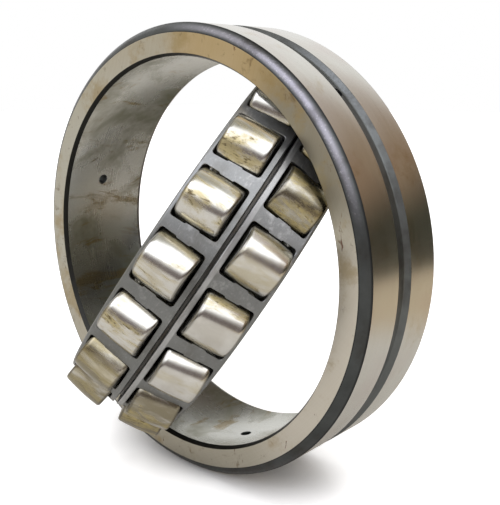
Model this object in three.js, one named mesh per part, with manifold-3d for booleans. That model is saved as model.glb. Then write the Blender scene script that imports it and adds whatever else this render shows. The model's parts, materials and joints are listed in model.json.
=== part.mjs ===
// Double-row spherical roller bearing, 90 x 160 x 40 mm, millimetres, +Z up.
//
// The outer ring stands on its rim with its axis along Y and its centre at the
// origin. The inner ring, guide ring, cages and rollers are swivelled inside its
// spherical raceway, the way the bearing is opened by hand for inspection.
import * as THREE from 'three';
import { mergeVertices } from 'three/addons/utils/BufferGeometryUtils.js';
import Module from 'manifold-3d';

const wasm = await Module();
wasm.setup();

const degrees = THREE.MathUtils.degToRad;

// ---- Driving dimensions ------------------------------------------------------

const OUTSIDE_DIAMETER = 160;
const BORE_DIAMETER = 90;
const WIDTH = 40;

const RACEWAY_SPHERE_RADIUS = 71.5;
const RUNNING_CLEARANCE = 0.25;

const ROLLERS_PER_ROW = 18;
const ROLLER_DIAMETER = 18;
const ROLLER_LENGTH = 15;
const ROLLER_END_CHAMFER = 0.9;
const CONTACT_ANGLE = degrees(9.3);

// The first roller of each row, measured round the bearing axis.
const FRONT_ROW_PHASE = degrees(5.9);
const REAR_ROW_PHASE = degrees(0.2);

// The inner set turned out of the outer ring about a line through the centre.
const SWIVEL_AXIS_SLOPE = degrees(49.6);
const SWIVEL_AT_REST = degrees(-59.4);

const OUTER_CHAMFER_RADIAL = 3.4;
const OUTER_CHAMFER_AXIAL = 2.6;
const RACEWAY_EDGE_RADIAL = 0.8;
const RACEWAY_EDGE_AXIAL = 1.7;

const LUBE_GROOVE_WIDTH = 7;
const LUBE_GROOVE_FLOOR_WIDTH = 4.6;
const LUBE_GROOVE_DEPTH = 1.8;
const LUBE_HOLE_DIAMETER = 3.6;
const LUBE_HOLE_ANGLES = [47.3, 163.8, 281.4].map(degrees);

const BORE_CHAMFER_AXIAL = 2;
const BORE_CHAMFER_RADIAL = 1.4;
const INNER_SHOULDER_CHAMFER = 1;

// The cage wall lies parallel to the roller axes, between these two heights above
// them, and turns inward past the rollers' outer ends as a flange.
const CAGE_WALL_TOP = 3.85;
const CAGE_WALL_BOTTOM = 1.7;
const CAGE_FLANGE_DEPTH = 7;
const CAGE_INNER_RIM_WIDTH = 1.9;
const CAGE_OUTER_RIM_WIDTH = 1.5;
const CAGE_EDGE_RADIUS = 0.9;
const POCKET_INNER_GAP = 0.7;
const POCKET_OUTER_GAP = 0.4;
const POCKET_SIDE_GAP = 0.3;
const POCKET_OVERCUT = 1;

const GUIDE_RING_OUTER_RADIUS = 63.6;
const GUIDE_RING_BORE_GAP = 0.35;
const GUIDE_RING_SIDE_GAP = 0.3;

// Facets round each turned piece and along its arcs.
const OUTER_RING_SEGMENTS = 64;
const INNER_RING_SEGMENTS = 54;
const GUIDE_RING_SEGMENTS = 54;
const CAGE_SEGMENTS = 72;
const ROLLER_SEGMENTS = 16;
const HOLE_SEGMENTS = 12;
const RACEWAY_STEPS = 12;
const ROLLER_PROFILE_STEPS = 4;
const INNER_RACEWAY_STEPS = 6;
const CAGE_EDGE_STEPS = 2;
const POCKET_SIDE_STEPS = 3;

// ---- Worked-out dimensions ---------------------------------------------------

const OUTSIDE_RADIUS = OUTSIDE_DIAMETER / 2;
const BORE_RADIUS = BORE_DIAMETER / 2;
const HALF_WIDTH = WIDTH / 2;
const HALF_ROLLER = ROLLER_LENGTH / 2;
const ROLLER_RADIUS = ROLLER_DIAMETER / 2;

// The barrel profile follows the raceway sphere, a running clearance inside it.
const BARREL_RADIUS = RACEWAY_SPHERE_RADIUS - RUNNING_CLEARANCE;
const ROLLER_ORBIT = BARREL_RADIUS - ROLLER_RADIUS;
const POCKET_INNER_END = HALF_ROLLER + POCKET_INNER_GAP;
const POCKET_OUTER_END = HALF_ROLLER + POCKET_OUTER_GAP;

// ---- Materials ---------------------------------------------------------------

const finish = (color, roughness, metalness) =>
  new THREE.MeshStandardMaterial({ color, roughness, metalness });

const ringSteel = () => finish(0x9a948c, 0.35, 0.9);
const guideSteel = () => finish(0x6f665d, 0.5, 0.8);
const cageSteel = () => finish(0x8d9092, 0.6, 0.7);
const rollerSteel = () => finish(0xc4bfb4, 0.18, 1);

// ---- Shape helpers -----------------------------------------------------------

const point = (x, y) => new THREE.Vector2(x, y);

// Points along an arc, both ends included.
function arc(center, radius, from, to, steps) {
  const points = [];
  for (let i = 0; i <= steps; i += 1) {
    const angle = from + (to - from) * i / steps;
    points.push(point(center.x + radius * Math.cos(angle), center.y + radius * Math.sin(angle)));
  }
  return points;
}

// A solid turned about the Y axis from a profile of (radius, height) points that
// rises along its outer side. A facet, not an edge, faces straight down.
function turned(profile, segments) {
  return new THREE.LatheGeometry(profile, segments, Math.PI / segments);
}

const closedLoop = (points) => [...points, points[0].clone()];

const mirroredInHeight = (points) => points.map((p) => point(p.x, -p.y)).reverse();

function toManifold(geometry) {
  const bare = geometry.clone();
  bare.deleteAttribute('normal');
  bare.deleteAttribute('uv');
  const merged = mergeVertices(bare, 1e-4);
  return new wasm.Manifold(new wasm.Mesh({
    numProp: 3,
    vertProperties: new Float32Array(merged.attributes.position.array),
    triVerts: new Uint32Array(merged.index.array),
  }));
}

function toGeometry(manifold) {
  const mesh = manifold.getMesh();
  const geometry = new THREE.BufferGeometry();
  geometry.setAttribute('position', new THREE.BufferAttribute(new Float32Array(mesh.vertProperties), 3));
  geometry.setIndex(new THREE.BufferAttribute(new Uint32Array(mesh.triVerts), 1));
  geometry.computeVertexNormals();
  return geometry;
}

function cutAway(geometry, cutters) {
  let solid = toManifold(geometry);
  for (const cutter of cutters) {
    solid = solid.subtract(toManifold(cutter));
  }
  return toGeometry(solid);
}

// ---- Row layout --------------------------------------------------------------

// A row's cross-section is drawn in roller coordinates: along the roller axis,
// away from the bearing centre line, and up from it. side is -1 for the front
// row, nearer -Y, and +1 for the rear row.
function fromRollerAxis(side, along, up) {
  const radius = (ROLLER_ORBIT + up) * Math.cos(CONTACT_ANGLE) - along * Math.sin(CONTACT_ANGLE);
  const height = (ROLLER_ORBIT + up) * Math.sin(CONTACT_ANGLE) + along * Math.cos(CONTACT_ANGLE);
  return point(radius, side * height);
}

// Radius of the barrel at a distance from the middle of the roller.
const barrelRadiusAt = (along) => Math.sqrt(BARREL_RADIUS ** 2 - along ** 2) - ROLLER_ORBIT;

// A frame carried round the bearing axis to one pocket of a row, with its origin
// at the roller's centre and its Y axis along the roller's axis.
function pocketMatrix(side, phase, index) {
  const angle = phase + index * 2 * Math.PI / ROLLERS_PER_ROW;
  const center = fromRollerAxis(side, 0, 0);
  return new THREE.Matrix4().makeRotationY(-angle)
    .multiply(new THREE.Matrix4().makeTranslation(center.x, center.y, 0))
    .multiply(new THREE.Matrix4().makeRotationZ(side * CONTACT_ANGLE));
}

// ---- Outer ring --------------------------------------------------------------

function outerRingGeometry() {
  const faceInnerRadius = Math.sqrt(RACEWAY_SPHERE_RADIUS ** 2 - (HALF_WIDTH - RACEWAY_EDGE_AXIAL) ** 2)
    + RACEWAY_EDGE_RADIAL;
  const upperOutside = [
    point(OUTSIDE_RADIUS - LUBE_GROOVE_DEPTH, LUBE_GROOVE_FLOOR_WIDTH / 2),
    point(OUTSIDE_RADIUS, LUBE_GROOVE_WIDTH / 2),
    point(OUTSIDE_RADIUS, HALF_WIDTH - OUTER_CHAMFER_AXIAL),
    point(OUTSIDE_RADIUS - OUTER_CHAMFER_RADIAL, HALF_WIDTH),
    point(faceInnerRadius, HALF_WIDTH),
  ];
  const edgeAngle = Math.asin((HALF_WIDTH - RACEWAY_EDGE_AXIAL) / RACEWAY_SPHERE_RADIUS);
  const raceway = arc(point(0, 0), RACEWAY_SPHERE_RADIUS, edgeAngle, -edgeAngle, RACEWAY_STEPS);
  const profile = closedLoop([...upperOutside, ...raceway, ...mirroredInHeight(upperOutside)]);

  const holes = LUBE_HOLE_ANGLES.map((angle) => {
    const length = OUTSIDE_RADIUS - RACEWAY_SPHERE_RADIUS + 4;
    const hole = new THREE.CylinderGeometry(
      LUBE_HOLE_DIAMETER / 2, LUBE_HOLE_DIAMETER / 2, length, HOLE_SEGMENTS);
    hole.rotateZ(-Math.PI / 2);
    hole.translate((OUTSIDE_RADIUS + RACEWAY_SPHERE_RADIUS) / 2, 0, 0);
    hole.rotateY(-angle);
    return hole;
  });
  return cutAway(turned(profile, OUTER_RING_SEGMENTS), holes);
}

// ---- Inner ring --------------------------------------------------------------

// The concave raceway of the rear row, from the middle land to the shoulder.
function innerRaceway() {
  const reach = HALF_ROLLER + RUNNING_CLEARANCE;
  const points = [];
  for (let i = 0; i <= INNER_RACEWAY_STEPS; i += 1) {
    const along = reach * (2 * i / INNER_RACEWAY_STEPS - 1);
    points.push(fromRollerAxis(1, along, -barrelRadiusAt(along) - RUNNING_CLEARANCE));
  }
  return points;
}

// Two raceways, a narrow middle land that carries the guide ring, and a plain
// shoulder beyond each row.
function innerRingGeometry() {
  const raceway = innerRaceway();
  const shoulderRadius = raceway[INNER_RACEWAY_STEPS].x;
  const upperHalf = [
    ...raceway,
    point(shoulderRadius, HALF_WIDTH - INNER_SHOULDER_CHAMFER),
    point(shoulderRadius - INNER_SHOULDER_CHAMFER, HALF_WIDTH),
    point(BORE_RADIUS + BORE_CHAMFER_RADIAL, HALF_WIDTH),
    point(BORE_RADIUS, HALF_WIDTH - BORE_CHAMFER_AXIAL),
  ];
  const profile = closedLoop([...upperHalf, ...mirroredInHeight(upperHalf)]);
  return turned(profile, INNER_RING_SEGMENTS);
}

// ---- Guide ring --------------------------------------------------------------

// A loose wedge-section ring between the rows, its sides parallel to the
// rollers' inner ends.
function guideRingGeometry() {
  const sideAt = (radius) => {
    const clearOfRollers = radius * Math.sin(CONTACT_ANGLE) - HALF_ROLLER - GUIDE_RING_SIDE_GAP;
    return clearOfRollers / Math.cos(CONTACT_ANGLE);
  };
  const innerRadius = innerRaceway()[0].x + GUIDE_RING_BORE_GAP;
  const upperHalf = [
    point(GUIDE_RING_OUTER_RADIUS, sideAt(GUIDE_RING_OUTER_RADIUS)),
    point(innerRadius, sideAt(innerRadius)),
  ];
  return turned(closedLoop([...upperHalf, ...mirroredInHeight(upperHalf)]), GUIDE_RING_SEGMENTS);
}

// ---- Cages -------------------------------------------------------------------

// A plug along the roller axis. Its sides follow the roller and lean in, so the
// webs hold the roller from falling outward.
function pocketCutter(side) {
  const bottom = CAGE_WALL_BOTTOM - POCKET_OVERCUT;
  const top = CAGE_WALL_TOP + POCKET_OVERCUT;
  const leftSide = [];
  for (let i = 0; i <= POCKET_SIDE_STEPS; i += 1) {
    const height = bottom + (top - bottom) * i / POCKET_SIDE_STEPS;
    leftSide.push(point(height, -Math.sqrt(ROLLER_RADIUS ** 2 - height ** 2) - POCKET_SIDE_GAP));
  }
  const outline = new THREE.Shape([...leftSide, ...mirroredInHeight(leftSide)]);
  const length = POCKET_INNER_END + POCKET_OUTER_END;
  const plug = new THREE.ExtrudeGeometry(outline, { depth: length, bevelEnabled: false });
  plug.translate(0, 0, side > 0 ? -POCKET_INNER_END : -POCKET_OUTER_END);
  plug.rotateX(-Math.PI / 2);
  return plug;
}

function cageGeometry(side, phase) {
  const innerEdge = -POCKET_INNER_END - CAGE_INNER_RIM_WIDTH;
  const outerEdge = POCKET_OUTER_END + CAGE_OUTER_RIM_WIDTH;
  const bend = arc(
    point(outerEdge - CAGE_EDGE_RADIUS, CAGE_WALL_TOP - CAGE_EDGE_RADIUS),
    CAGE_EDGE_RADIUS, 0, Math.PI / 2, CAGE_EDGE_STEPS);
  const section = [
    point(innerEdge, CAGE_WALL_BOTTOM),
    point(POCKET_OUTER_END, CAGE_WALL_BOTTOM),
    point(POCKET_OUTER_END, -CAGE_FLANGE_DEPTH),
    point(outerEdge, -CAGE_FLANGE_DEPTH),
    ...bend,
    point(innerEdge, CAGE_WALL_TOP),
  ];
  const outline = section.map((p) => fromRollerAxis(side, p.x, p.y));
  if (side > 0) {
    outline.reverse();
  }
  const pockets = [];
  for (let i = 0; i < ROLLERS_PER_ROW; i += 1) {
    pockets.push(pocketCutter(side).applyMatrix4(pocketMatrix(side, phase, i)));
  }
  return cutAway(turned(closedLoop(outline), CAGE_SEGMENTS), pockets);
}

// ---- Rollers -----------------------------------------------------------------

function rollerGeometry() {
  const shoulder = HALF_ROLLER - ROLLER_END_CHAMFER;
  const barrel = [];
  for (let i = 0; i <= ROLLER_PROFILE_STEPS; i += 1) {
    const along = shoulder * (2 * i / ROLLER_PROFILE_STEPS - 1);
    barrel.push(point(barrelRadiusAt(along), along));
  }
  const endRadius = barrelRadiusAt(HALF_ROLLER) - ROLLER_END_CHAMFER;
  const profile = [
    point(0, -HALF_ROLLER),
    point(endRadius, -HALF_ROLLER),
    ...barrel,
    point(endRadius, HALF_ROLLER),
    point(0, HALF_ROLLER),
  ];
  return turned(profile, ROLLER_SEGMENTS);
}

// ---- Assembly ----------------------------------------------------------------

const bearing = new THREE.Group();

function addPiece(parent, name, geometry, material) {
  const mesh = new THREE.Mesh(geometry, material);
  mesh.name = name;
  parent.add(mesh);
  return mesh;
}

addPiece(bearing, 'outer_ring', outerRingGeometry(), ringSteel());

const swivelled = new THREE.Group();
const swivelAxis = new THREE.Vector3(Math.cos(SWIVEL_AXIS_SLOPE), 0, Math.sin(SWIVEL_AXIS_SLOPE));
swivelled.quaternion.setFromAxisAngle(swivelAxis, SWIVEL_AT_REST);
bearing.add(swivelled);

addPiece(swivelled, 'inner_ring', innerRingGeometry(), ringSteel());
addPiece(swivelled, 'guide_ring', guideRingGeometry(), guideSteel());

const rows = [
  { name: 'front', side: -1, phase: FRONT_ROW_PHASE },
  { name: 'rear', side: 1, phase: REAR_ROW_PHASE },
];
for (const row of rows) {
  addPiece(swivelled, `cage_${row.name}`, cageGeometry(row.side, row.phase), cageSteel());
  for (let i = 0; i < ROLLERS_PER_ROW; i += 1) {
    const number = String(i + 1).padStart(2, '0');
    const roller = addPiece(swivelled, `roller_${row.name}_${number}`, rollerGeometry(), rollerSteel());
    roller.applyMatrix4(pocketMatrix(row.side, row.phase, i));
  }
}

export default bearing;
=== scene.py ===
# Looks for the swivelled double-row spherical roller bearing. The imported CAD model
# is the fixed frame. Fine turned and formed meshes with procedural steels stand for
# its nodes.
import json
import math

import bmesh
import bpy
from mathutils import Matrix, Vector

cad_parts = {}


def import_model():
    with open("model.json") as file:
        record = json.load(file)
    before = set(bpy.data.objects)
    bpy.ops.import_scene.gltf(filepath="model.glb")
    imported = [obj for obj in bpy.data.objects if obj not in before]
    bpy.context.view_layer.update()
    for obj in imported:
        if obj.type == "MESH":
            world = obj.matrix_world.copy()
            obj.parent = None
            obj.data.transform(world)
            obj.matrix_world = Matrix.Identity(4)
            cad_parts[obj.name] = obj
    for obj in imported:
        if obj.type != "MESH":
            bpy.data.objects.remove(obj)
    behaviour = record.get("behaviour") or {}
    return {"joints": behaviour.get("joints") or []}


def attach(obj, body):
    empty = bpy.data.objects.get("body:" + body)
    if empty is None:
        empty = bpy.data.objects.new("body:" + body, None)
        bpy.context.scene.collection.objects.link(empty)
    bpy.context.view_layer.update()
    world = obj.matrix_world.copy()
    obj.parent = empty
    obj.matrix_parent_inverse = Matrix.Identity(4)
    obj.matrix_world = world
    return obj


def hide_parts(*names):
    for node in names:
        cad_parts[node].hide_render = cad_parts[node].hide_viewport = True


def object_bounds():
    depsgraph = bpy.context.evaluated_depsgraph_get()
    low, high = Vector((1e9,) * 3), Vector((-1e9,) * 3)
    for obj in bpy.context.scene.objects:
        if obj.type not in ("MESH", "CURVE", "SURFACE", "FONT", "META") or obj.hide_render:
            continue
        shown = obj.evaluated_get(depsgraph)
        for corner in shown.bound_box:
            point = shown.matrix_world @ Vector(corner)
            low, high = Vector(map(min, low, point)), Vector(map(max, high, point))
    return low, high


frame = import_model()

CAD_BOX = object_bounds()

# ---- Dimensions, in millimetres ----------------------------------------------

MM = 0.001

OUTSIDE_RADIUS = 80
BORE_RADIUS = 45
HALF_WIDTH = 20
RACEWAY_SPHERE_RADIUS = 71.5
RUNNING_CLEARANCE = 0.25

ROLLERS_PER_ROW = 18
HALF_PITCH = math.pi / ROLLERS_PER_ROW
ROLLER_RADIUS = 9
HALF_ROLLER = 7.5
ROLLER_CHAMFER = 0.8
ROLLER_RECESS = ((3.4, 0), (3.1, 0.1), (2.6, 0.45), (0, 0.5))  # (radius, depth) at each end
CONTACT_ANGLE = math.radians(9.3)
BARREL_RADIUS = RACEWAY_SPHERE_RADIUS - RUNNING_CLEARANCE
ROLLER_ORBIT = BARREL_RADIUS - ROLLER_RADIUS
OILY_ROLLERS = {"front": (5, 10, 15, 16), "rear": (2, 8, 15, 16)}
# Radians that a row's first roller is turned about its own axis, and from one to the next.
FIRST_ROLLER_TURN = {"front": 0, "rear": 0.7}
ROLLER_TURN_STEP = 2.4

OUTER_CHAMFER_RADIAL = 3.4
OUTER_CHAMFER_AXIAL = 2.6
OUTER_CHAMFER_BULGE = 0.45
RACEWAY_EDGE_RADIAL = 0.8
RACEWAY_EDGE_AXIAL = 1.7
GROOVE_HALF_WIDTH = 3.5
GROOVE_FLOOR_HALF_WIDTH = 2.3
GROOVE_DEPTH = 1.8
LUBE_HOLE_RADIUS = 1.8
LUBE_HOLE_FLARE = 0.35
LUBE_HOLE_ANGLES = [math.radians(a) for a in (47.3, 163.8, 281.4)]

GROOVE_FLOOR_FILLET = 0.9
GROOVE_EDGE_FILLET = 0.25
LAND_EDGE_FILLET = 0.4
CROWN_FILLET = 4.0
FACE_EDGE_FILLET = 0.35
RACEWAY_EDGE_FILLET = 0.15

SHOULDER_CHAMFER = 1
SHOULDER_FILLET = 0.3
BORE_CHAMFER_RADIAL = 1.4
BORE_CHAMFER_AXIAL = 2
BORE_FACE_FILLET = 0.4
BORE_FILLET = 0.8

# Cage and pockets, along a roller's axis from its middle and up from that axis.
CAGE_TOP = 3.85
CAGE_BOTTOM = 1.7
CAGE_INNER_EDGE = -10.1
CAGE_OUTER_EDGE = 9.4
CAGE_EDGE_BREAK = 0.16
CAGE_BEND_RADIUS = 0.9
FLANGE_INSIDE = 8.1
FLANGE_FOOT = -7
FLANGE_MIDDLE = -2
FLANGE_EDGE_BREAK = 0.3

POCKET_OUTER_END = 7.9
POCKET_INNER_END = 8.2
POCKET_SIDE_GAP = 0.28
POCKET_CURVE_DROP = 0.55
POCKET_RELIEF = 0.4
POCKET_RELIEF_RUN = 0.35
POCKET_TAB_HALF_LENGTH = 2.2
POCKET_SIDE_MIDDLE = 4.5
POCKET_CORNER_RADIUS = 1.1

GUIDE_RING_OUTER_RADIUS = 63.6
GUIDE_SIDE_GAP = 0.3
GUIDE_BORE_GAP = 0.35
GUIDE_OUTER_FILLET = 0.4
GUIDE_BORE_FILLET = 0.15

# ---- Mesh fineness -----------------------------------------------------------

OUTER_RING_SEGMENTS = 360
INNER_SET_SEGMENTS = 256
ROLLER_SEGMENTS = 64
DRILL_SEGMENTS = 32
FILLET_STEPS = 4
RACEWAY_STEPS = 40
INNER_RACEWAY_STEPS = 16
BARREL_STEPS = 18
ROLLER_CHAMFER_STEPS = 6
POCKET_CORNER_STEPS = 8
CAGE_BEND_STEPS = 6
MERGE_DISTANCE = 0.002
ON_AXIS = 0.001  # a point nearer to the turning axis than this lies on it
SHARP_ABOVE = math.radians(32)

# ---- Camera ------------------------------------------------------------------

VIEW_AZIMUTH = math.radians(42.45)
VIEW_ELEVATION = math.radians(12.75)
VIEW_DISTANCE = 283.7
VIEW_AIM_RIGHT = 12.0
VIEW_AIM_UP = -1.6
LENS = 54.26

# ---- Studio, azimuths in degrees from the front toward +X --------------------

WINDOW_AZIMUTH = 78
WINDOW_EDGE_AZIMUTH = 115
FAR_WALL_AZIMUTH = 150
LEFT_WALL_AZIMUTH = 312
BACKDROP_AZIMUTH = 222
LAMP_AZIMUTH = 4
LAMP_RISE = 0.75

# The floor, in millimetres. Mirrored, it turns tan and then dark between two distances.
FLOOR_SIZE = 6000
FLOOR_GAP = 0.1
FLOOR_TURNS_TAN = (130, 210)
FLOOR_TURNS_DARK = (400, 520)
SHADOW_REACH = 28
FLOOR_GLOW = 0.58


# ---- Mesh building -----------------------------------------------------------

def rounded_loop(corners):
    """A closed outline of (point, zone) from corners of (x, y, fillet, fillet zone, side zone)."""
    outline = []
    for i, (x, y, radius, fillet_zone, side_zone) in enumerate(corners):
        here = Vector((x, y))
        if radius == 0:
            outline.append((here, side_zone))
            continue
        back = (Vector(corners[i - 1][:2]) - here).normalized()
        ahead = (Vector(corners[(i + 1) % len(corners)][:2]) - here).normalized()
        half = back.angle(ahead) / 2
        reach = radius / math.tan(half)
        center = here + (back + ahead).normalized() * (radius / math.sin(half))
        start = here + back * reach - center
        end = here + ahead * reach - center
        turn = math.atan2(start.x * end.y - start.y * end.x, start.dot(end))
        for step in range(FILLET_STEPS + 1):
            spoke = Matrix.Rotation(turn * step / FILLET_STEPS, 2) @ start
            outline.append((center + spoke, fillet_zone if step < FILLET_STEPS else side_zone))
    return outline


def mirrored_half(rear, middle_zone):
    """The front half of a loop of corners, from its rear half.

    A side's zone is held by the corner before it, so the zones move up by one corner.
    """
    front = []
    for i in range(len(rear) - 1, -1, -1):
        x, y, radius, fillet_zone, _ = rear[i]
        front.append((x, -y, radius, fillet_zone, rear[i - 1][4] if i else middle_zone))
    return front


def arc_points(radius, start, end, steps):
    """Points of an arc round the origin, both ends included."""
    angles = [start + (end - start) * i / steps for i in range(steps + 1)]
    return [Vector((radius * math.cos(a), radius * math.sin(a))) for a in angles]


def mesh_object(name, mesh, materials, matrix=Matrix.Identity(4)):
    """An object from a bmesh built round Y, moved into place with its origin at zero."""
    bmesh.ops.remove_doubles(mesh, verts=mesh.verts, dist=MERGE_DISTANCE * MM)
    bmesh.ops.recalc_face_normals(mesh, faces=mesh.faces)
    data = bpy.data.meshes.new(name)
    mesh.to_mesh(data)
    mesh.free()
    for material in materials:
        data.materials.append(material)
    store_turning(data, matrix)
    data.transform(matrix)
    thing = bpy.data.objects.new(name, data)
    bpy.context.scene.collection.objects.link(thing)
    shade(data)
    return thing


def store_turning(data, matrix=Matrix.Identity(4)):
    """Keeps each point's place about its own turning axis, and the way round that axis."""
    places = data.attributes.new("turned_place", "FLOAT_VECTOR", "POINT")
    ways = data.attributes.new("way_round", "FLOAT_VECTOR", "POINT")
    for i, vertex in enumerate(data.vertices):
        x, y, z = vertex.co
        places.data[i].vector = (x / MM, y / MM, z / MM)
        way = Vector((-z, 0, x)) if math.hypot(x, z) > ON_AXIS * MM else Vector((1, 0, 0))
        ways.data[i].vector = matrix.to_3x3() @ way.normalized()


def shade(data):
    """Smooth shading, with true corners kept sharp."""
    data.shade_smooth()
    data.set_sharp_from_angle(angle=SHARP_ABOVE)


def revolved(outline, segments, zones, closed=True):
    """A bmesh turned about the Y axis from (point, zone) pairs of radius and height."""
    mesh = bmesh.new()
    columns = []
    for point, _ in outline:
        if point.x < ON_AXIS:
            axis_vertex = mesh.verts.new((0, point.y * MM, 0))
            columns.append([axis_vertex] * segments)
            continue
        ring = []
        for s in range(segments):
            angle = 2 * math.pi * s / segments
            place = Vector((point.x * math.cos(angle), point.y, point.x * math.sin(angle)))
            ring.append(mesh.verts.new(place * MM))
        columns.append(ring)
    last = len(outline) if closed else len(outline) - 1
    for i in range(last):
        here, there = columns[i], columns[(i + 1) % len(outline)]
        for s in range(segments):
            t = (s + 1) % segments
            # At the axis two corners are the same vertex, and one of them is dropped.
            corners = list(dict.fromkeys((here[s], there[s], there[t], here[t])))
            if len(corners) > 2:
                face = mesh.faces.new(corners)
                face.material_index = zones.index(outline[i][1])
    return mesh


def cut_by(thing, cutters):
    """Cuts solids out of an object that turns about the world's Y, and removes them."""
    for cutter in cutters:
        modifier = thing.modifiers.new("cut", "BOOLEAN")
        modifier.operation = "DIFFERENCE"
        modifier.solver = "EXACT"
        modifier.object = cutter
    bpy.context.view_layer.update()
    evaluated = thing.evaluated_get(bpy.context.evaluated_depsgraph_get())
    cut_data = bpy.data.meshes.new_from_object(evaluated)
    thing.modifiers.clear()
    thing.data = cut_data
    cut_data.name = thing.name
    for cutter in cutters:
        bpy.data.objects.remove(cutter)
    # The holes' walls still hold the cutters' places, so the places are stored anew.
    for name in ("turned_place", "way_round"):
        cut_data.attributes.remove(cut_data.attributes[name])
    store_turning(cut_data)
    shade(cut_data)


# ---- Material graphs ---------------------------------------------------------

class NodeMaker:
    """Adds shader nodes to a tree. Its calls take numbers, tuples or sockets."""

    def __init__(self, tree):
        self.tree = tree

    def node(self, kind, output=0, **settings):
        """The new node, and the output of it that is asked for."""
        made = self.tree.nodes.new(kind)
        for name, value in settings.items():
            setattr(made, name, value)
        return made, made.outputs[output]

    def feed(self, socket, value):
        if isinstance(value, bpy.types.NodeSocket):
            self.tree.links.new(value, socket)
        elif isinstance(value, tuple) and socket.type == "RGBA":
            socket.default_value = (*value, 1.0)
        else:
            socket.default_value = value

    def vector(self, operation, first, second=None):
        made, _ = self.node("ShaderNodeVectorMath", operation=operation)
        self.feed(made.inputs[0], first)
        if second is not None:
            self.feed(made.inputs[1], second)
        return made.outputs["Value" if operation in ("LENGTH", "DOT_PRODUCT") else "Vector"]

    def math(self, operation, first, second=0.0, third=0.0):
        made, result = self.node("ShaderNodeMath", operation=operation)
        for socket, value in zip(made.inputs, (first, second, third)):
            self.feed(socket, value)
        return result

    def split(self, vector):
        made, _ = self.node("ShaderNodeSeparateXYZ")
        self.feed(made.inputs[0], vector)
        return made.outputs[0], made.outputs[1], made.outputs[2]

    def combine(self, x, y, z):
        made, result = self.node("ShaderNodeCombineXYZ")
        for socket, value in zip(made.inputs, (x, y, z)):
            self.feed(socket, value)
        return result

    def ramp(self, value, low, high, to_low=0.0, to_high=1.0):
        """A smooth step from to_low at low to to_high at high."""
        made, result = self.node("ShaderNodeMapRange", interpolation_type="SMOOTHSTEP")
        for name, setting in zip(("Value", "From Min", "From Max", "To Min", "To Max"),
                                 (value, low, high, to_low, to_high)):
            self.feed(made.inputs[name], setting)
        return result

    def mix(self, amount, first, second):
        made, _ = self.node("ShaderNodeMix", data_type="RGBA")
        self.feed(made.inputs["Factor"], amount)
        self.feed(made.inputs[6], first)
        self.feed(made.inputs[7], second)
        return made.outputs[2]


class Steel(NodeMaker):
    """A metal's node tree.

    Patterns read the stored turned_place, in millimetres, so they stay on their piece.
    Y is its turning axis.
    """

    NOISE_SLICE = 7.3
    RANDOM_SPREAD = 900.0

    def __init__(self, name, seed):
        self.material = bpy.data.materials.new(name)
        self.material.use_nodes = True
        super().__init__(self.material.node_tree)
        self.shader = self.tree.nodes["Principled BSDF"]
        self.seed = seed
        self.place = self.attribute("turned_place")
        self.height = self.split(self.place)[1]
        self.off_center = self.math("ABSOLUTE", self.height)
        flat = self.vector("MULTIPLY", self.place, (1, 0, 1))
        self.radius = self.vector("LENGTH", flat)
        self.around = self.vector("NORMALIZE", flat)

    def attribute(self, name):
        return self.node("ShaderNodeAttribute", "Vector", attribute_name=name)[1]

    def noise(self, vector, scale, detail=3.0, roughness=0.55, distortion=0.0):
        """Noise from 0 to 1. Each call gets its own slice, so no two look alike."""
        self.seed += 1
        made, result = self.node("ShaderNodeTexNoise", "Fac", noise_dimensions="4D")
        slice_at = self.seed * self.NOISE_SLICE
        for name, setting in zip(("Vector", "W", "Scale", "Detail", "Roughness", "Distortion"),
                                 (vector, slice_at, scale, detail, roughness, distortion)):
            self.feed(made.inputs[name], setting)
        return result

    def turning_lines(self, across, along=0.6):
        """Noise drawn out round the turning axis: across is lines per millimetre."""
        x, _, z = self.split(self.around)
        over = self.math("MULTIPLY", self.math("ADD", self.height, self.radius), across)
        drawn = self.combine(self.math("MULTIPLY", x, along), over, self.math("MULTIPLY", z, along))
        return self.noise(drawn, 1.0, detail=2.0, roughness=0.7)

    def sector(self, middle, reach, full):
        """1 round part of a ring, and 0 beyond the reach.

        The middle is in degrees from the piece's own Z toward its own X, which for the
        outer ring is from its top toward +X. Reach and full are degrees to each side.
        """
        angle = math.radians(middle)
        facing = self.vector("DOT_PRODUCT", self.around, (math.sin(angle), 0, math.cos(angle)))
        return self.ramp(facing, math.cos(math.radians(reach)), math.cos(math.radians(full)))

    def layer(self, color, mask, strength, over):
        """Lays a stain of the colour over where the mask is 1, at the strength given."""
        return self.mix(self.math("MULTIPLY", mask, strength), color, over)

    def bump(self, height, depth_mm):
        """Raises the surface by up to depth_mm where height is 1."""
        made, normal = self.node("ShaderNodeBump")
        made.inputs["Strength"].default_value = 1.0
        made.inputs["Distance"].default_value = depth_mm * MM
        self.feed(made.inputs["Height"], height)
        self.feed(self.shader.inputs["Normal"], normal)

    def finish(self, color, roughness, metallic=1.0, anisotropic=0.0):
        self.feed(self.shader.inputs["Base Color"], color)
        self.feed(self.shader.inputs["Roughness"], roughness)
        self.feed(self.shader.inputs["Metallic"], metallic)
        if anisotropic:
            self.shader.inputs["Anisotropic"].default_value = anisotropic
            tangent, way = self.node("ShaderNodeVectorTransform", vector_type="VECTOR",
                                     convert_from="OBJECT", convert_to="WORLD")
            self.feed(tangent.inputs[0], self.attribute("way_round"))
            self.feed(self.shader.inputs["Tangent"], way)
        return self.material


GROUND_STEEL = (0.64, 0.63, 0.575)
TAN_STEEL = (0.49, 0.455, 0.36)
GOLDEN_OIL = (0.42, 0.31, 0.13)
BROWN_OIL = (0.17, 0.11, 0.05)
OLIVE_OIL = (0.21, 0.205, 0.12)
RUST = (0.16, 0.06, 0.03)

GRINDING_CENTERS = ((95.0, 0.0, 40.0), (-70.0, 0.0, 85.0))


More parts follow.
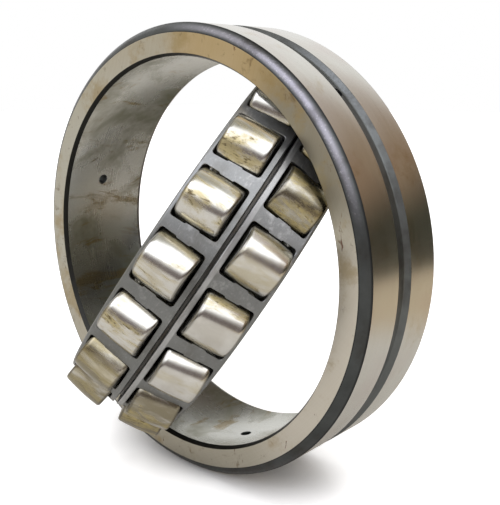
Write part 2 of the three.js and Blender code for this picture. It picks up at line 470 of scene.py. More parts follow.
def ground_face_steel():
    """The flat side faces: crossing grinding arcs, golden and brown stains, dark nicks, painted
    light and shade.
    """
    steel = Steel("ground_face_steel", seed=10)
    arcs = []
    for center in GRINDING_CENTERS:
        from_center = steel.vector("LENGTH", steel.vector("SUBTRACT", steel.place, center))
        rings = steel.combine(from_center, 0.0, 0.0)
        arcs.append(steel.noise(rings, 2.2, detail=2.0, roughness=0.8))
    grind = steel.math("ADD", arcs[0], arcs[1])
    tan = steel.ramp(steel.noise(steel.place, 0.035, detail=3.0), 0.42, 0.6)
    golden = steel.ramp(steel.noise(steel.place, 0.06, detail=7.0, roughness=0.65), 0.5, 0.64)
    brown = steel.ramp(
        steel.noise(steel.place, 0.17, detail=7.0, roughness=0.7, distortion=0.6), 0.57, 0.68)
    nick_place = steel.vector("MULTIPLY", steel.place, (1.0, 1.0, 0.35))
    nicks = steel.ramp(steel.noise(nick_place, 0.42, detail=3.0, distortion=1.2), 0.68, 0.72)
    # Painted highlight: paler round one part of each ring.
    face_painted_light = steel.sector(112, 42, 15)
    # Painted shade: darker round another part of each ring.
    face_painted_shade = steel.sector(50, 30, 12)
    grey_side = steel.sector(-70, 50, 20)
    golden_top = steel.sector(18, 24, 6)
    color = steel.layer(GROUND_STEEL, steel.math("SUBTRACT", grind, 0.3), 0.6, TAN_STEEL)
    color = steel.layer(color, tan, 0.35, TAN_STEEL)
    color = steel.layer(color, face_painted_light, 0.6, (0.84, 0.79, 0.70))
    color = steel.layer(color, face_painted_shade, 0.7, (0.27, 0.245, 0.19))
    color = steel.layer(color, grey_side, 0.5, (0.60, 0.61, 0.55))
    color = steel.layer(color, golden_top, 0.6, (0.60, 0.42, 0.16))
    color = steel.layer(color, golden, 0.55, GOLDEN_OIL)
    color = steel.layer(color, brown, 0.6, BROWN_OIL)
    color = steel.layer(color, nicks, 0.8, RUST)
    roughness = steel.math("MULTIPLY_ADD", golden, 0.1,
                           steel.math("MULTIPLY_ADD", grind, 0.14, 0.25))
    steel.bump(steel.math("MULTIPLY_ADD", nicks, -2.0, grind), 0.008)
    return steel.finish(color, roughness)


def black_scale_steel():
    """Unground chamfers and groove: dark heat-treatment scale, with a painted highlight on part of
    the chamfers, painted shade at their borders and a painted shadow in the groove.
    """
    steel = Steel("black_scale_steel", seed=20)
    grain = steel.noise(steel.place, 1.6, detail=5.0, roughness=0.7)
    patches = steel.noise(steel.place, 0.1, detail=5.0, roughness=0.65)
    half_chamfer = OUTER_CHAMFER_RADIAL / 2
    chamfer_start = HALF_WIDTH - OUTER_CHAMFER_AXIAL
    groove_floor = OUTSIDE_RADIUS - GROOVE_DEPTH
    from_middle = steel.math("SUBTRACT", steel.radius, OUTSIDE_RADIUS - half_chamfer)
    off_crown = steel.math("ABSOLUTE", from_middle)
    on_chamfer = steel.ramp(steel.off_center, chamfer_start - 0.9, chamfer_start - 0.2)
    crown = steel.math("MULTIPLY", on_chamfer, steel.ramp(off_crown, half_chamfer - 0.3, 0.2))
    # Painted shade: the chamfer darkened along both its borders.
    border = steel.math(
        "MULTIPLY", on_chamfer, steel.ramp(off_crown, half_chamfer - 0.55, half_chamfer - 0.1))
    # Painted highlight: the chamfer's crown made bright round one part of the ring; the bright
    # specks in it are painted glints.
    crown_painted_highlight = steel.math("MULTIPLY", crown, steel.sector(36, 42, 16))
    specks = steel.math("MULTIPLY", crown_painted_highlight, steel.ramp(grain, 0.54, 0.66))
    in_groove = steel.math(
        "MULTIPLY", steel.ramp(steel.off_center, GROOVE_HALF_WIDTH + 1.1, GROOVE_HALF_WIDTH + 0.5),
        steel.ramp(steel.radius, groove_floor - 1.2, groove_floor - 0.6))
    # Painted shadow: the groove painted black next to its near wall.
    groove_near_wall_painted_shadow = steel.math("MULTIPLY", in_groove, steel.ramp(steel.height, -0.6, -2.6))
    inside = steel.ramp(steel.radius, RACEWAY_SPHERE_RADIUS, RACEWAY_SPHERE_RADIUS - 1.5)
    oily = steel.ramp(steel.noise(steel.place, 0.07, detail=5.0), 0.48, 0.66)
    color = steel.mix(patches, (0.04, 0.043, 0.043), (0.12, 0.13, 0.13))
    color = steel.layer(color, in_groove, 0.45, (0.25, 0.265, 0.26))
    color = steel.layer(color, crown_painted_highlight, 0.75, (0.42, 0.41, 0.46))
    color = steel.layer(color, specks, 0.6, (0.78, 0.77, 0.82))
    color = steel.layer(color, oily, 0.5, (0.045, 0.038, 0.03))
    color = steel.layer(color, groove_near_wall_painted_shadow, 0.8, (0.02, 0.02, 0.02))
    color = steel.layer(color, border, 0.75, (0.015, 0.015, 0.016))
    color = steel.layer(color, inside, 0.85, (0.04, 0.04, 0.037))
    roughness = steel.ramp(grain, 0.3, 0.7, 0.28, 0.46)
    steel.bump(grain, 0.06)
    return steel.finish(color, roughness, metallic=0.85)


def ground_land_steel():
    """The outside lands and the bore: fine lines round the axis, rosy and brown stains."""
    steel = Steel("ground_land_steel", seed=30)
    lines = steel.turning_lines(across=5.0)
    coarse = steel.turning_lines(across=0.8, along=2.0)
    rosy = steel.ramp(steel.noise(steel.place, 0.04, detail=3.0), 0.48, 0.68)
    brown = steel.ramp(steel.noise(steel.place, 0.06, detail=6.0, roughness=0.65), 0.54, 0.70)
    specks = steel.ramp(steel.noise(steel.place, 0.9, detail=3.0), 0.68, 0.76)
    color = steel.layer((0.68, 0.67, 0.62), coarse, 0.5, (0.52, 0.51, 0.45))
    color = steel.layer(color, rosy, 0.3, (0.55, 0.44, 0.40))
    color = steel.layer(color, brown, 0.45, GOLDEN_OIL)
    color = steel.layer(color, specks, 0.5, BROWN_OIL)
    roughness = steel.math("MULTIPLY_ADD", lines, 0.14, 0.15)
    steel.bump(steel.math("MULTIPLY_ADD", specks, -1.5, lines), 0.002)
    return steel.finish(color, roughness, anisotropic=0.4)


def raceway_steel():
    """Honed raceways: roller tracks, olive oil smears and brown drips across them, and painted
    light and shade on two sides.
    """
    steel = Steel("raceway_steel", seed=40)
    lines = steel.turning_lines(across=3.0)
    smears = steel.ramp(
        steel.noise(steel.place, 0.045, detail=7.0, roughness=0.6, distortion=0.5), 0.42, 0.68)
    drip_place = steel.vector("MULTIPLY", steel.place, (1.0, 0.35, 1.0))
    drips = steel.ramp(
        steel.noise(drip_place, 0.11, detail=7.0, roughness=0.68, distortion=0.8), 0.53, 0.64)
    track = steel.math("MULTIPLY", steel.ramp(steel.off_center, 4.5, 5.5),
                       steel.ramp(steel.off_center, 18.0, 17.2))
    # Painted highlight: paler round one part of each ring.
    raceway_painted_light = steel.sector(-72, 34, 12)
    # Painted shade: darker round another part of each ring.
    shaded_side = steel.sector(-112, 36, 14)
    color = steel.layer((0.60, 0.60, 0.56), lines, 0.4, (0.48, 0.48, 0.445))
    color = steel.layer(color, track, 0.25, GROUND_STEEL)
    color = steel.layer(color, raceway_painted_light, 0.85, (0.92, 0.91, 0.87))
    color = steel.layer(color, shaded_side, 0.6, (0.26, 0.25, 0.20))
    color = steel.layer(color, smears, 0.75, OLIVE_OIL)
    color = steel.layer(color, drips, 0.7, (0.27, 0.19, 0.06))
    roughness = steel.math("MULTIPLY_ADD", smears, 0.1,
                           steel.math("MULTIPLY_ADD", lines, 0.1, 0.2))
    steel.bump(steel.math("MULTIPLY_ADD", drips, 2.0, lines), 0.003)
    return steel.finish(color, roughness, anisotropic=0.3)


def roller_steel(name, oiliness):
    """Superfinished rollers: near mirrors with oil film, yellow smears, black crust and painted
    shade at the ends.

    Each roller's random number moves its patterns, so no two rollers look alike.
    """
    steel = Steel(name, seed=50)
    luck = steel.node("ShaderNodeObjectInfo", "Random")[1]
    shift = steel.math("MULTIPLY", luck, steel.RANDOM_SPREAD)
    own = steel.vector("ADD", steel.place, steel.combine(shift, shift, shift))
    streaks = steel.vector("MULTIPLY", own, (1.0, 0.3, 1.0))
    lines = steel.turning_lines(across=4.0)
    film = steel.ramp(steel.noise(own, 0.12, detail=4.0), 0.4, 0.65)
    yellow = steel.ramp(
        steel.noise(streaks, 0.13, detail=7.0, roughness=0.68, distortion=0.6), 0.46, 0.60)
    yellow = steel.math("MULTIPLY", yellow, steel.ramp(luck, 0.0, 0.6, 0.45, 1.0))
    crust = steel.ramp(steel.noise(streaks, 1.1, detail=6.0, roughness=0.75), 0.52, 0.58)
    crust = steel.math("MULTIPLY", crust, steel.ramp(yellow, 0.4, 0.9))
    # Painted shade: each roller darkened toward both ends.
    roller_end_painted_shade = steel.ramp(steel.off_center, HALF_ROLLER - 1.0, HALF_ROLLER - 0.4)
    oil = steel.ramp(
        steel.noise(streaks, 0.1, detail=6.0, roughness=0.65, distortion=0.8), 0.32, 0.54)
    color = steel.layer((0.84, 0.84, 0.81), film, 0.55, (0.60, 0.57, 0.51))
    color = steel.layer(color, oil, oiliness, (0.22, 0.185, 0.10))
    color = steel.layer(color, yellow, 0.85, (0.56, 0.47, 0.22))
    color = steel.layer(color, crust, 0.85, (0.10, 0.07, 0.035))
    color = steel.layer(color, roller_end_painted_shade, 0.7, (0.12, 0.11, 0.09))
    smooth = 0.13 + 0.05 * oiliness
    roughness = steel.math("MULTIPLY_ADD", yellow, 0.16,
                           steel.math("MULTIPLY_ADD", lines, 0.1, smooth))
    steel.bump(steel.math("MULTIPLY_ADD", crust, 4.0, lines), 0.002)
    return steel.finish(color, roughness, anisotropic=0.25)


def cage_steel():
    """Pressed cage steel: satin grey, mottled, with bright scuffs, grime, a painted highlight on
    the rear rim and painted shade on one side.
    """
    steel = Steel("cage_steel", seed=60)
    grain = steel.noise(steel.place, 3.0, detail=4.0, roughness=0.7)
    mottling = steel.noise(steel.place, 0.3, detail=6.0, roughness=0.65)
    scuff_place = steel.vector("MULTIPLY", steel.place, (0.5, 4.0, 0.9))
    scuffs = steel.ramp(steel.noise(scuff_place, 0.5, detail=4.0, distortion=0.5), 0.58, 0.66)
    bright = steel.ramp(steel.noise(steel.place, 0.22, detail=6.0, roughness=0.7), 0.54, 0.68)
    grime = steel.ramp(steel.noise(steel.place, 0.09, detail=6.0, roughness=0.6), 0.5, 0.7)
    # Painted shade: one side of each cage darkened.
    shaded_side = steel.sector(150, 80, 40)
    # Painted highlight: a lighter band along the rear cage's inner rim.
    rear_rim_painted_highlight = steel.math("MULTIPLY", steel.ramp(steel.height, 0.2, 0.6),
                          steel.ramp(steel.height, 2.5, 2.1))
    color = steel.mix(mottling, (0.25, 0.26, 0.265), (0.42, 0.43, 0.435))
    color = steel.layer(color, steel.ramp(grain, 0.45, 0.65), 0.25, (0.62, 0.63, 0.64))
    color = steel.layer(color, bright, 0.55, (0.78, 0.79, 0.80))
    color = steel.layer(color, scuffs, 0.45, (0.66, 0.66, 0.66))
    color = steel.layer(color, shaded_side, 0.55, (0.15, 0.155, 0.145))
    color = steel.layer(color, rear_rim_painted_highlight, 0.45, (0.80, 0.81, 0.82))
    color = steel.layer(color, grime, 0.45, (0.13, 0.12, 0.10))
    roughness = steel.ramp(grain, 0.3, 0.7, 0.30, 0.44)
    steel.bump(steel.math("ADD", grain, scuffs), 0.012)
    return steel.finish(color, roughness, metallic=0.85)


def guide_steel():
    """The guide ring: turned steel wet with brown oil, coloured dark partly as painted shade for
    the gap between the cages.
    """
    steel = Steel("guide_steel", seed=70)
    lines = steel.turning_lines(across=2.5)
    oil = steel.ramp(steel.noise(steel.place, 0.15, detail=5.0), 0.4, 0.65)
    # Partly painted shade: the ring is coloured dark for the shade between the cages as well as for
    # its oil.
    color = steel.mix(lines, (0.09, 0.088, 0.085), (0.18, 0.175, 0.165))
    color = steel.layer(color, oil, 0.5, (0.08, 0.06, 0.035))
    roughness = steel.math("MULTIPLY_ADD", lines, 0.15, 0.32)
    steel.bump(lines, 0.01)
    return steel.finish(color, roughness, metallic=0.9)


# ---- Row layout --------------------------------------------------------------

joints = {joint["name"]: joint for joint in frame["joints"]}
bearing_axis = Vector(joints["inner_spin"]["axis"]).normalized()


def from_roller_axis(side, along, up):
    """Radius and height of a point given along a roller's axis and up from it."""
    radius = (ROLLER_ORBIT + up) * math.cos(CONTACT_ANGLE) - along * math.sin(CONTACT_ANGLE)
    height = (ROLLER_ORBIT + up) * math.sin(CONTACT_ANGLE) + along * math.cos(CONTACT_ANGLE)
    return radius, side * height


def barrel_radius_at(along):
    """The roller's radius at a place along its axis, from its middle."""
    return math.sqrt(BARREL_RADIUS ** 2 - along ** 2) - ROLLER_ORBIT


def axes_matrix(x_like, y_axis, origin=Vector((0, 0, 0))):
    """A frame with Y along y_axis and X as near to x_like as that allows."""
    x_axis = (x_like - y_axis * x_like.dot(y_axis)).normalized()
    z_axis = x_axis.cross(y_axis)
    turn = Matrix((x_axis, y_axis, z_axis)).transposed().to_4x4()
    return Matrix.Translation(origin) @ turn


def row_matrix(row):
    """The row's frame at rest: Y along the bearing axis, X through roller 01."""
    return axes_matrix(Vector(joints[f"roller_{row}_01_spin"]["pos_m"]), bearing_axis)


# ---- Rings -------------------------------------------------------------------

def outer_ring(materials):
    mouth_height = HALF_WIDTH - RACEWAY_EDGE_AXIAL
    mouth = math.sqrt(RACEWAY_SPHERE_RADIUS ** 2 - mouth_height ** 2)
    face_edge = Vector((OUTSIDE_RADIUS - OUTER_CHAMFER_RADIAL, HALF_WIDTH))
    land_edge = Vector((OUTSIDE_RADIUS, HALF_WIDTH - OUTER_CHAMFER_AXIAL))
    outward = Vector((OUTER_CHAMFER_AXIAL, OUTER_CHAMFER_RADIAL)).normalized()
    crown = (face_edge + land_edge) / 2 + outward * OUTER_CHAMFER_BULGE
    # Each corner is (x, y, fillet radius, zone of the fillet, zone of the side after it).
    rear = [
        (OUTSIDE_RADIUS - GROOVE_DEPTH, GROOVE_FLOOR_HALF_WIDTH, GROOVE_FLOOR_FILLET,
         "scale", "scale"),
        (OUTSIDE_RADIUS, GROOVE_HALF_WIDTH, GROOVE_EDGE_FILLET, "scale", "land"),
        (*land_edge, LAND_EDGE_FILLET, "scale", "scale"),
        (*crown, CROWN_FILLET, "scale", "scale"),
        (*face_edge, FACE_EDGE_FILLET, "face", "face"),
        (mouth + RACEWAY_EDGE_RADIAL, HALF_WIDTH, RACEWAY_EDGE_FILLET, "scale", "scale"),
    ]
    edge = math.asin(mouth_height / RACEWAY_SPHERE_RADIUS)
    *arc, last = arc_points(RACEWAY_SPHERE_RADIUS, edge, -edge, RACEWAY_STEPS)
    raceway = [(*point, 0, "raceway", "raceway") for point in arc]
    raceway.append((*last, 0, "scale", "scale"))
    outline = rounded_loop(rear + raceway + mirrored_half(rear, "scale"))
    ring = mesh_object("outer_ring_fine", revolved(outline, OUTER_RING_SEGMENTS, list(materials)),
                       materials.values())
    cut_by(ring, [lube_drill(angle, materials) for angle in LUBE_HOLE_ANGLES])
    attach(ring, "outer_ring")
    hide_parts("outer_ring")


def lube_drill(angle, materials):
    """A drill through groove and raceway, flared where it breaks the raceway."""
    flared = LUBE_HOLE_RADIUS + LUBE_HOLE_FLARE
    flare_start = RACEWAY_SPHERE_RADIUS - 0.1
    tip = flare_start - 2
    shank = OUTSIDE_RADIUS + 1
    profile = [
        (0, tip), (flared, tip), (flared, flare_start),
        (LUBE_HOLE_RADIUS, flare_start + LUBE_HOLE_FLARE), (LUBE_HOLE_RADIUS, shank), (0, shank),
    ]
    outline = [(Vector(p), "scale") for p in profile]
    outward = Vector((math.cos(angle), 0, math.sin(angle)))
    mesh = revolved(outline, DRILL_SEGMENTS, list(materials), closed=False)
    return mesh_object("drill", mesh, materials.values(), axes_matrix(Vector((0, 1, 0)), outward))


def inner_ring(materials):
    reach = HALF_ROLLER + RUNNING_CLEARANCE
    step = 2 * reach / INNER_RACEWAY_STEPS
    rear = []
    for i in range(INNER_RACEWAY_STEPS + 1):
        along = step * i - reach
        x, y = from_roller_axis(1, along, -barrel_radius_at(along) - RUNNING_CLEARANCE)
        rear.append((x, y, 0, "raceway", "raceway"))
    shoulder = rear.pop()[0]
    rear += [
        (shoulder, rear[-1][1] + step, 0, "land", "land"),
        (shoulder, HALF_WIDTH - SHOULDER_CHAMFER, SHOULDER_FILLET, "scale", "scale"),
        (shoulder - SHOULDER_CHAMFER, HALF_WIDTH, SHOULDER_FILLET, "face", "face"),
        (BORE_RADIUS + BORE_CHAMFER_RADIAL, HALF_WIDTH, BORE_FACE_FILLET, "scale", "scale"),
        (BORE_RADIUS, HALF_WIDTH - BORE_CHAMFER_AXIAL, BORE_FILLET, "land", "land"),
    ]
    outline = rounded_loop(rear + mirrored_half(rear, "land"))
    ring = mesh_object("inner_ring_fine", revolved(outline, INNER_SET_SEGMENTS, list(materials)),
                       materials.values(), row_matrix("front"))
    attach(ring, "inner_ring")
    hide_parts("inner_ring")


def guide_ring(material):
    """The loose ring between the rows. Its sides slope to lie along the rollers' ends."""
    ends = HALF_ROLLER + GUIDE_SIDE_GAP
    inner_raceway_edge = from_roller_axis(
        1, -HALF_ROLLER - RUNNING_CLEARANCE, -barrel_radius_at(HALF_ROLLER) - RUNNING_CLEARANCE)[0]
    corners = []
    for radius, fillet in ((GUIDE_RING_OUTER_RADIUS, GUIDE_OUTER_FILLET),
                           (inner_raceway_edge + GUIDE_BORE_GAP, GUIDE_BORE_FILLET)):
        height = (radius * math.sin(CONTACT_ANGLE) - ends) / math.cos(CONTACT_ANGLE)
        corners.append((radius, height, fillet, "all", "all"))
    outline = rounded_loop(corners + mirrored_half(corners, "all"))
    ring = mesh_object("guide_ring_fine", revolved(outline, INNER_SET_SEGMENTS, ["all"]),
                       [material], row_matrix("front"))
    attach(ring, "guide_ring")
    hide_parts("guide_ring")


# ---- Cages -------------------------------------------------------------------

def pocket_half_width(up):
    """Half the width of the curve that a pocket's sides follow, at a height."""
    return math.sqrt(ROLLER_RADIUS ** 2 - (up - POCKET_CURVE_DROP) ** 2)


def pocket_quadrant(end):
    """A quarter of the pocket's outline as (lateral, along), from mid-side to mid-end.

    The sides step back beyond a short middle tab, and the corners are rounded.
    The corner's middle is given too, as an index.
    """
    tab = pocket_half_width(CAGE_TOP) + POCKET_SIDE_GAP
    side = tab + POCKET_RELIEF
    points = [(tab, 0), (tab, POCKET_TAB_HALF_LENGTH / 2), (tab, POCKET_TAB_HALF_LENGTH)]
    points += [(side, POCKET_TAB_HALF_LENGTH + POCKET_RELIEF_RUN), (side, POCKET_SIDE_MIDDLE)]
    corner_at = len(points) + POCKET_CORNER_STEPS // 2
    corner = Vector((side - POCKET_CORNER_RADIUS, end - POCKET_CORNER_RADIUS))
    quarter = arc_points(POCKET_CORNER_RADIUS, 0, math.pi / 2, POCKET_CORNER_STEPS)
    points += [tuple(corner + point) for point in quarter]
    points += [(corner.x * share, end) for share in (0.75, 0.5, 0.25, 0)]
    return points, corner_at


def pocket_loop(inner_rim, outer_rim):
    """Matched closed loops: the pocket's outline and the rim of its sector.

    The rim is given as (share of the half pitch, along), from inner_rim to outer_rim.
    """
    loop = []
    for lateral_sign, along_sign, backwards in ((1, 1, False), (-1, 1, True),
                                                (-1, -1, False), (1, -1, True)):
        pocket_end, rim = POCKET_OUTER_END, outer_rim
        if along_sign < 0:
            pocket_end, rim = POCKET_INNER_END, -inner_rim
        points, corner_at = pocket_quadrant(pocket_end)
        corner = points[corner_at]
        run = []
        for i, (lateral, along) in enumerate(points):
            if i <= corner_at:
                share, part = 1.0, along / corner[1]
            else:
                share, part = lateral / corner[0], 1.0
            run.append(((lateral * lateral_sign, along * along_sign),
                        (share * lateral_sign, part * rim * along_sign)))
        if backwards:
            run.reverse()
        loop += run[:-1]
    return loop


def flange_section(rim):
    """The outer rim's section as (along, up): over the bend, down the flange and back up."""
    bend_center = Vector((rim, CAGE_TOP - CAGE_BEND_RADIUS))
    bend = arc_points(CAGE_BEND_RADIUS, math.pi / 2, 0, CAGE_BEND_STEPS)
    return [tuple(bend_center + point) for point in bend] + [
        (CAGE_OUTER_EDGE, CAGE_BOTTOM),
        (CAGE_OUTER_EDGE, FLANGE_MIDDLE),
        (CAGE_OUTER_EDGE, FLANGE_FOOT + FLANGE_EDGE_BREAK),
        (CAGE_OUTER_EDGE - FLANGE_EDGE_BREAK, FLANGE_FOOT),
        (FLANGE_INSIDE + FLANGE_EDGE_BREAK, FLANGE_FOOT),
        (FLANGE_INSIDE, FLANGE_FOOT + FLANGE_EDGE_BREAK),
        (FLANGE_INSIDE, FLANGE_MIDDLE),
        (FLANGE_INSIDE, CAGE_BOTTOM),
    ]


def free_edge_section(rim):
    """The inner rim's section as (along, up): down its edge, broken at both corners."""
    return [
        (rim, CAGE_TOP),
        (CAGE_INNER_EDGE, CAGE_TOP - CAGE_EDGE_BREAK),
        (CAGE_INNER_EDGE, CAGE_BOTTOM + CAGE_EDGE_BREAK),
        (rim, CAGE_BOTTOM),
    ]


class CageMesh:
    """A cage's surface in its row's frame, made of one sector round each pocket.

    Side is -1 for the front row and 1 for the rear row.
    """

    def __init__(self, side):
        self.side = side
        self.mesh = bmesh.new()
        self.inner_rim = CAGE_INNER_EDGE + CAGE_EDGE_BREAK
        self.outer_rim = CAGE_OUTER_EDGE - CAGE_BEND_RADIUS
        self.pairs = pocket_loop(self.inner_rim, self.outer_rim)
        self.widest = max(lateral for lateral, _ in pocket_quadrant(POCKET_OUTER_END)[0])

    def vertex(self, angle, along, up):
        radius, height = from_roller_axis(self.side, along, up)
        place = Vector((radius * math.cos(angle), height, radius * math.sin(angle)))
        return self.mesh.verts.new(place * MM)

    def bridge(self, loops, closed=True):
        """Faces between each row of vertices and the next."""
        for first, second in zip(loops, loops[1:]):
            count = len(first)
            for i in range(count if closed else count - 1):
                j = (i + 1) % count
                self.mesh.faces.new((first[i], first[j], second[j], second[i]))

    def pocket_shape(self, up, outset=0):
        """The pocket's outline at a height as (angle, along), let out by the outset."""
        widening = pocket_half_width(up) - pocket_half_width(CAGE_TOP)
        wider = 1 + (widening + outset) / self.widest
        longer = 1 + outset / POCKET_OUTER_END
        shape = []
        for (lateral, along), _ in self.pairs:
            radius = from_roller_axis(self.side, along, up)[0]
            shape.append((math.asin(lateral * wider / radius), along * longer))
        return shape

    def loop(self, center, shape, up, share=0.0):
        """Vertices at a share of the way from the pocket's outline to the sector's rim."""
        vertices = []
        for (angle, along), (_, (rim_share, rim_along)) in zip(shape, self.pairs):
            turn = angle + (rim_share * HALF_PITCH - angle) * share
            over = along + (rim_along - along) * share
            vertices.append(self.vertex(center + turn, over, up))
        return vertices

    def sector(self, center):
        """The cage's top, the pocket's wall and the underside, from rim to rim."""
        top = self.pocket_shape(CAGE_TOP, CAGE_EDGE_BREAK)
        bottom = self.pocket_shape(CAGE_BOTTOM, CAGE_EDGE_BREAK)
        wall_top, wall_bottom = CAGE_TOP - CAGE_EDGE_BREAK, CAGE_BOTTOM + CAGE_EDGE_BREAK
        inward = (1.0, 0.66, 0.33, 0.0)
        loops = [self.loop(center, top, CAGE_TOP, share) for share in inward]
        for share in (0, 0.5, 1):
            up = wall_top + (wall_bottom - wall_top) * share
            loops.append(self.loop(center, self.pocket_shape(up), up))
        loops += [self.loop(center, bottom, CAGE_BOTTOM, share) for share in inward[::-1]]
        self.bridge(loops)

    def border(self, center, rim, section):
        """A strip along one rim of the sector, through the section's points."""
        shares = sorted({share for _, (share, along) in self.pairs if along == rim})
        rows = []
        for along, up in section:
            row = [self.vertex(center + share * HALF_PITCH, along, up) for share in shares]
            rows.append(row)
        self.bridge(rows, closed=False)


def cage(row, side, material):
    surface = CageMesh(side)
    flange = flange_section(surface.outer_rim)
    free_edge = free_edge_section(surface.inner_rim)
    for i in range(ROLLERS_PER_ROW):
        center = 2 * HALF_PITCH * i
        surface.sector(center)
        surface.border(center, surface.outer_rim, flange)
        surface.border(center, surface.inner_rim, free_edge)
    piece = mesh_object(f"cage_{row}_fine", surface.mesh, [material], row_matrix(row))
    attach(piece, f"cage_{row}")
    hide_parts(f"cage_{row}")


# ---- Rollers -----------------------------------------------------------------

def roller_outline():
    """A barrel with rounded edges and a shallow recess in each end, from end to end."""
    barrel_end = HALF_ROLLER - ROLLER_CHAMFER
    chamfer_center = Vector((barrel_radius_at(HALF_ROLLER) - ROLLER_CHAMFER, barrel_end))
    barrel = []
    for i in range(BARREL_STEPS + 1):
        along = barrel_end * (2 * i / BARREL_STEPS - 1)
        barrel.append(Vector((barrel_radius_at(along), along)))
    rounding = arc_points(ROLLER_CHAMFER, 0, math.pi / 2, ROLLER_CHAMFER_STEPS)
    cap = [chamfer_center + point for point in rounding[1:]]
    cap += [Vector((radius, HALF_ROLLER - depth)) for radius, depth in ROLLER_RECESS]
    start = [Vector((point.x, -point.y)) for point in cap[::-1]]
    return [(point, "all") for point in start + barrel + cap]


def rollers(row, clean, oily):
    outline = roller_outline()
    for i in range(ROLLERS_PER_ROW):
        node = f"roller_{row}_{i + 1:02d}"
        material = oily if i + 1 in OILY_ROLLERS[row] else clean
        joint = joints[node + "_spin"]
        center = Vector(joint["pos_m"])
        own_turn = Matrix.Rotation(i * ROLLER_TURN_STEP + FIRST_ROLLER_TURN[row], 4, "Y")
        matrix = axes_matrix(center, Vector(joint["axis"]).normalized(), center) @ own_turn
        mesh = revolved(outline, ROLLER_SEGMENTS, ["all"], closed=False)
        piece = mesh_object(node + "_fine", mesh, [material], matrix)
        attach(piece, node)
        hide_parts(node)


# ---- Studio ------------------------------------------------------------------

WHITE = (1.0, 1.0, 1.0)
PALE_CEILING = (0.95, 0.94, 0.92)
DIM_ZENITH = (0.45, 0.43, 0.37)
DIM_ROOM = (0.16, 0.13, 0.125)
LEFT_WALL = (0.66, 0.60, 0.50)
WALL_FOOT = (0.05, 0.05, 0.036)
WALL_MIDDLE = (0.34, 0.245, 0.165)
WALL_TOP = (0.60, 0.52, 0.48)
WINDOW_LIGHT = (1.7, 1.7, 1.74)
LAMP_LIGHT = (2.6, 2.6, 2.9)

PALE_SHEET = (0.72, 0.70, 0.66)
TAN_SHEET = (0.65, 0.545, 0.40)
DARK_GROUND = (0.05, 0.05, 0.035)
SEEN_SHEET = (0.92, 0.92, 0.92)


class WorldNodes(NodeMaker):
    """The world's node tree, with the looked-at direction split up."""

    def __init__(self):
        scene_world = bpy.data.worlds.new("studio")
        bpy.context.scene.world = scene_world
        scene_world.use_nodes = True
        super().__init__(scene_world.node_tree)
        self.direction = self.tree.nodes.new("ShaderNodeTexCoord").outputs["Generated"]
        self.rise = self.split(self.direction)[2]

    def toward(self, azimuth, start, full, rise=0.0):
        """1 where the direction points at an azimuth, from dot products start to full."""
        angle = math.radians(azimuth)
        level = math.sqrt(1 - rise ** 2)
        aim = (math.sin(angle) * level, -math.cos(angle) * level, rise)
        return self.ramp(self.vector("DOT_PRODUCT", self.direction, aim), start, full)


def world():
    """The room that the steel mirrors and is lit by. The camera itself sees only white."""
    sky = WorldNodes()
    overhead = sky.mix(sky.ramp(sky.rise, 0.82, 0.95), PALE_CEILING, DIM_ZENITH)
    room = sky.mix(sky.ramp(sky.rise, 0.20, 0.48), DIM_ROOM, overhead)
    left = sky.mix(sky.ramp(sky.rise, 0.3, 0.6), LEFT_WALL, overhead)
    room = sky.mix(sky.toward(LEFT_WALL_AZIMUTH, 0.6, 0.85), room, left)
    low_wall = sky.mix(sky.ramp(sky.rise, 0.08, 0.38), WALL_FOOT, WALL_MIDDLE)
    far_wall = sky.mix(sky.ramp(sky.rise, 0.42, 0.72), low_wall, WALL_TOP)
    color = sky.mix(sky.toward(FAR_WALL_AZIMUTH, 0.45, 0.75), room, far_wall)
    window = sky.math("MULTIPLY", sky.ramp(sky.rise, 0.36, 0.46), sky.ramp(sky.rise, 0.97, 0.92))
    window = sky.math("MULTIPLY", window, sky.toward(WINDOW_AZIMUTH, 0.12, 0.3))
    window = sky.math("MULTIPLY", window, sky.toward(WINDOW_EDGE_AZIMUTH - 90, -0.02, 0.05))
    color = sky.mix(window, color, WINDOW_LIGHT)
    color = sky.mix(sky.toward(BACKDROP_AZIMUTH, 0.50, 0.76), color, WHITE)
    lamp = sky.toward(LAMP_AZIMUTH, 0.93, 0.985, rise=LAMP_RISE)
    color = sky.mix(lamp, color, LAMP_LIGHT)
    seen = sky.node("ShaderNodeLightPath", "Is Camera Ray")[1]
    background = sky.tree.nodes["Background"]
    sky.feed(background.inputs["Color"], sky.mix(seen, color, WHITE))


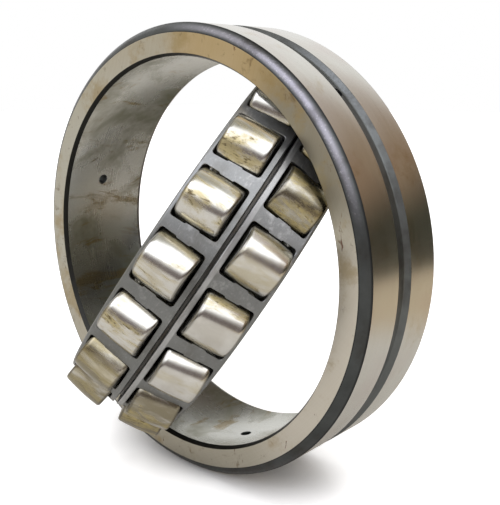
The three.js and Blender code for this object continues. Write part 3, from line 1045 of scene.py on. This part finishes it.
def floor():
    """A white floor with a soft contact shadow, where the object closes it in.

    The steel mirrors it as a sheet that turns tan, and then dark, toward the far wall.
    """
    low, _ = CAD_BOX
    under = low[2] - FLOOR_GAP * MM
    bpy.ops.mesh.primitive_plane_add(size=FLOOR_SIZE * MM, location=(0, 0, under))
    plane = bpy.context.object
    plane.name = "studio_floor"
    material = bpy.data.materials.new("studio_floor_white")
    material.use_nodes = True
    plane.data.materials.append(material)
    maker = NodeMaker(material.node_tree)
    shader = maker.tree.nodes["Principled BSDF"]
    place = maker.node("ShaderNodeTexCoord", "Object")[1]
    angle = math.radians(FAR_WALL_AZIMUTH)
    toward_wall = (math.sin(angle) / MM, -math.cos(angle) / MM, 0)
    outward = maker.vector("DOT_PRODUCT", place, toward_wall)
    sheet = maker.mix(maker.ramp(outward, *FLOOR_TURNS_TAN), PALE_SHEET, TAN_SHEET)
    sheet = maker.mix(maker.ramp(outward, *FLOOR_TURNS_DARK), sheet, DARK_GROUND)
    seen = maker.node("ShaderNodeLightPath", "Is Camera Ray")[1]
    maker.feed(shader.inputs["Base Color"], maker.mix(seen, sheet, SEEN_SHEET))
    shader.inputs["Roughness"].default_value = 0.8
    shader.inputs["Specular IOR Level"].default_value = 0.1
    shader.inputs["Emission Color"].default_value = (1, 1, 1, 1)
    # Painted light and shadow: the floor glows white to the camera, and the glow is dimmed where
    # ambient occlusion is low.
    openness, _ = maker.node("ShaderNodeAmbientOcclusion", samples=8)
    openness.inputs["Distance"].default_value = SHADOW_REACH * MM
    glow = maker.ramp(openness.outputs["AO"], 0.30, 0.74, 0.0, FLOOR_GLOW)
    maker.feed(shader.inputs["Emission Strength"], maker.math("MULTIPLY", seen, glow))


def camera():
    data = bpy.data.cameras.new("photo_view")
    data.lens = LENS
    view = bpy.data.objects.new("photo_view", data)
    bpy.context.scene.collection.objects.link(view)
    toward_camera = Vector((
        math.sin(VIEW_AZIMUTH) * math.cos(VIEW_ELEVATION),
        -math.cos(VIEW_AZIMUTH) * math.cos(VIEW_ELEVATION),
        math.sin(VIEW_ELEVATION)))
    turn = toward_camera.to_track_quat("Z", "Y")
    aim = turn @ Vector((VIEW_AIM_RIGHT, VIEW_AIM_UP, VIEW_DISTANCE))
    view.location = aim * MM
    view.rotation_euler = turn.to_euler()
    bpy.context.scene.camera = view


# ---- Build -------------------------------------------------------------------

ring_materials = {
    "face": ground_face_steel(),
    "scale": black_scale_steel(),
    "land": ground_land_steel(),
    "raceway": raceway_steel(),
}
outer_ring(ring_materials)
inner_ring(ring_materials)
guide_ring(guide_steel())
cage_material = cage_steel()
clean_roller = roller_steel("roller_steel", 0.1)
oily_roller = roller_steel("oily_roller_steel", 0.85)
for row_name, row_side in (("front", -1), ("rear", 1)):
    cage(row_name, row_side, cage_material)
    rollers(row_name, clean_roller, oily_roller)

floor()
world()
camera()
bpy.context.scene.view_settings.view_transform = "Standard"
